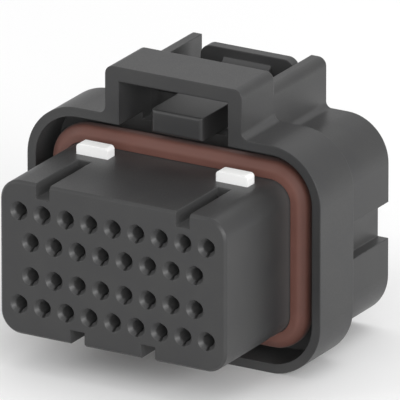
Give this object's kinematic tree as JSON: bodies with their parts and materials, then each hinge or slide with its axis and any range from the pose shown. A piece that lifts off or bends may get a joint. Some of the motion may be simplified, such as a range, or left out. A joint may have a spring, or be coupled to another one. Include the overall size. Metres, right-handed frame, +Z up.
{
  "type": "rectangular sealed connector socket",
  "caption": "Rectangular sealed multi-way connector socket: core block of contact entries inside a hood, with interface seal, rocking latch lever and secondary lock.",
  "frame": {"origin": "centre of the mating face of the core block", "axes": "+X along the contact rows, +Y into the part from the mating face to the wire side, +Z up towards the latch"},
  "size_m": [0.0376, 0.0324, 0.0326],
  "materials": {
    "housing_plastic": "dark grey moulded glass-filled plastic, matt",
    "lock_plastic": "white moulded plastic, satin",
    "seal_rubber": "brick-brown silicone rubber, satin",
    "contact_metal": "tin-plated copper alloy strip"
  },
  "bodies": {
    "socket": {"housing": "housing_plastic", "interface_seal": "seal_rubber", "wire_seal": "seal_rubber", "rear_cover": "housing_plastic", "contact_01": "contact_metal", "contact_02": "contact_metal", "contact_03": "contact_metal", "contact_04": "contact_metal", "contact_05": "contact_metal", "contact_06": "contact_metal", "contact_07": "contact_metal", "contact_08": "contact_metal", "contact_09": "contact_metal", "contact_10": "contact_metal", "contact_11": "contact_metal", "contact_12": "contact_metal", "contact_13": "contact_metal", "contact_14": "contact_metal", "contact_15": "contact_metal", "contact_16": "contact_metal", "contact_17": "contact_metal", "contact_18": "contact_metal", "contact_19": "contact_metal", "contact_20": "contact_metal", "contact_21": "contact_metal", "contact_22": "contact_metal", "contact_23": "contact_metal", "contact_24": "contact_metal", "contact_25": "contact_metal", "contact_26": "contact_metal", "contact_27": "contact_metal", "contact_28": "contact_metal", "contact_29": "contact_metal", "contact_30": "contact_metal", "contact_31": "contact_metal", "contact_32": "contact_metal", "contact_33": "contact_metal", "contact_34": "contact_metal"},
    "latch": {"latch_lever": "housing_plastic"},
    "lock": {"secondary_lock": "lock_plastic"}
  },
  "joints": [
    {"name": "latch_rock", "type": "hinge", "parent": "socket", "child": "latch", "pos_m": [0, 0.0232, 0.0139], "axis": [-1, 0, 0], "range_deg": [0, 8], "stiffness_Nm_per_rad": 0.6},
    {"name": "lock_press", "type": "slide", "parent": "socket", "child": "lock", "axis": [0, 0, -1], "range_m": [0, 0.0012]}
  ]
}
